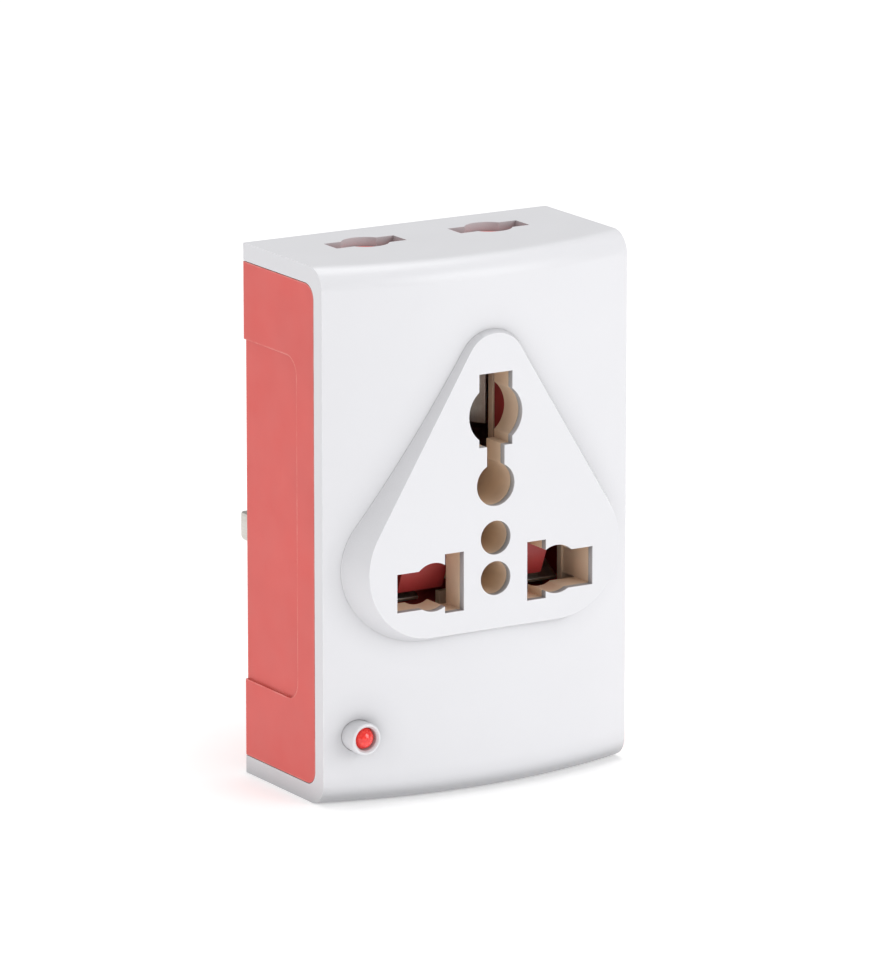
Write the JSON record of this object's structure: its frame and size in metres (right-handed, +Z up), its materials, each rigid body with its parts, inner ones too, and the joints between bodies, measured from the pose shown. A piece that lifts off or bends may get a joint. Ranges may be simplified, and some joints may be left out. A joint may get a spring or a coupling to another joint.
{
  "type": "universal travel adapter",
  "caption": "Upright travel adapter: bowed white cover with a raised triangular universal socket face, slotted top socket, coral rear shell and flat pins behind.",
  "frame": {"origin": "middle of the base: the centre of the bounding box in X and Y, at its lowest Z", "axes": "+Z up, +Y back along the plug pins, +X to the right as seen facing the front socket"},
  "size_m": [0.047, 0.0482, 0.0725],
  "materials": {
    "white_plastic": "moulded, satin gloss",
    "coral_plastic": "moulded, satin gloss",
    "tan_plastic": "moulded",
    "dark_red_plastic": "moulded",
    "black_plastic": "moulded",
    "nickel_plate": "nickel plated brass",
    "strip_brass": "stamped strip",
    "spring_steel": "drawn wire",
    "screw_steel": "zinc plated",
    "red_lens": "clear tinted",
    "pale_insulator": "moulded",
    "resistor_ceramic": "dipped body with painted bands",
    "brown_sleeving": "soft insulation",
    "blue_sleeving": "soft insulation"
  },
  "bodies": {
    "case": {"front_cover": "white_plastic", "socket_face": "white_plastic", "contact_carrier": "tan_plastic", "shutter_retainer": "tan_plastic", "shutter_spring": "spring_steel", "rear_shell": "coral_plastic", "live_pin": "nickel_plate", "neutral_pin": "nickel_plate", "earth_pin": "nickel_plate", "live_sleeve": "black_plastic", "neutral_sleeve": "black_plastic", "live_contact": "nickel_plate", "neutral_contact": "nickel_plate", "earth_contact": "nickel_plate", "top_live_clip": "nickel_plate", "top_neutral_clip": "nickel_plate", "strip_rivets": "strip_brass", "case_screws": "screw_steel", "retainer_screws": "screw_steel", "lamp_collar": "white_plastic", "lamp_lens": "red_lens", "lamp_body": "pale_insulator", "resistor": "resistor_ceramic", "live_wire": "brown_sleeving", "neutral_wire": "blue_sleeving"},
    "shutter": {"shutter": "dark_red_plastic"}
  },
  "joints": [
    {"name": "shutter_slide", "type": "slide", "parent": "case", "child": "shutter", "axis": [0, 0, 1], "range_m": [0, 0.0042], "stiffness_N_per_m": 200, "springref_m": -0.002, "deforming": ["shutter_spring"]}
  ]
}
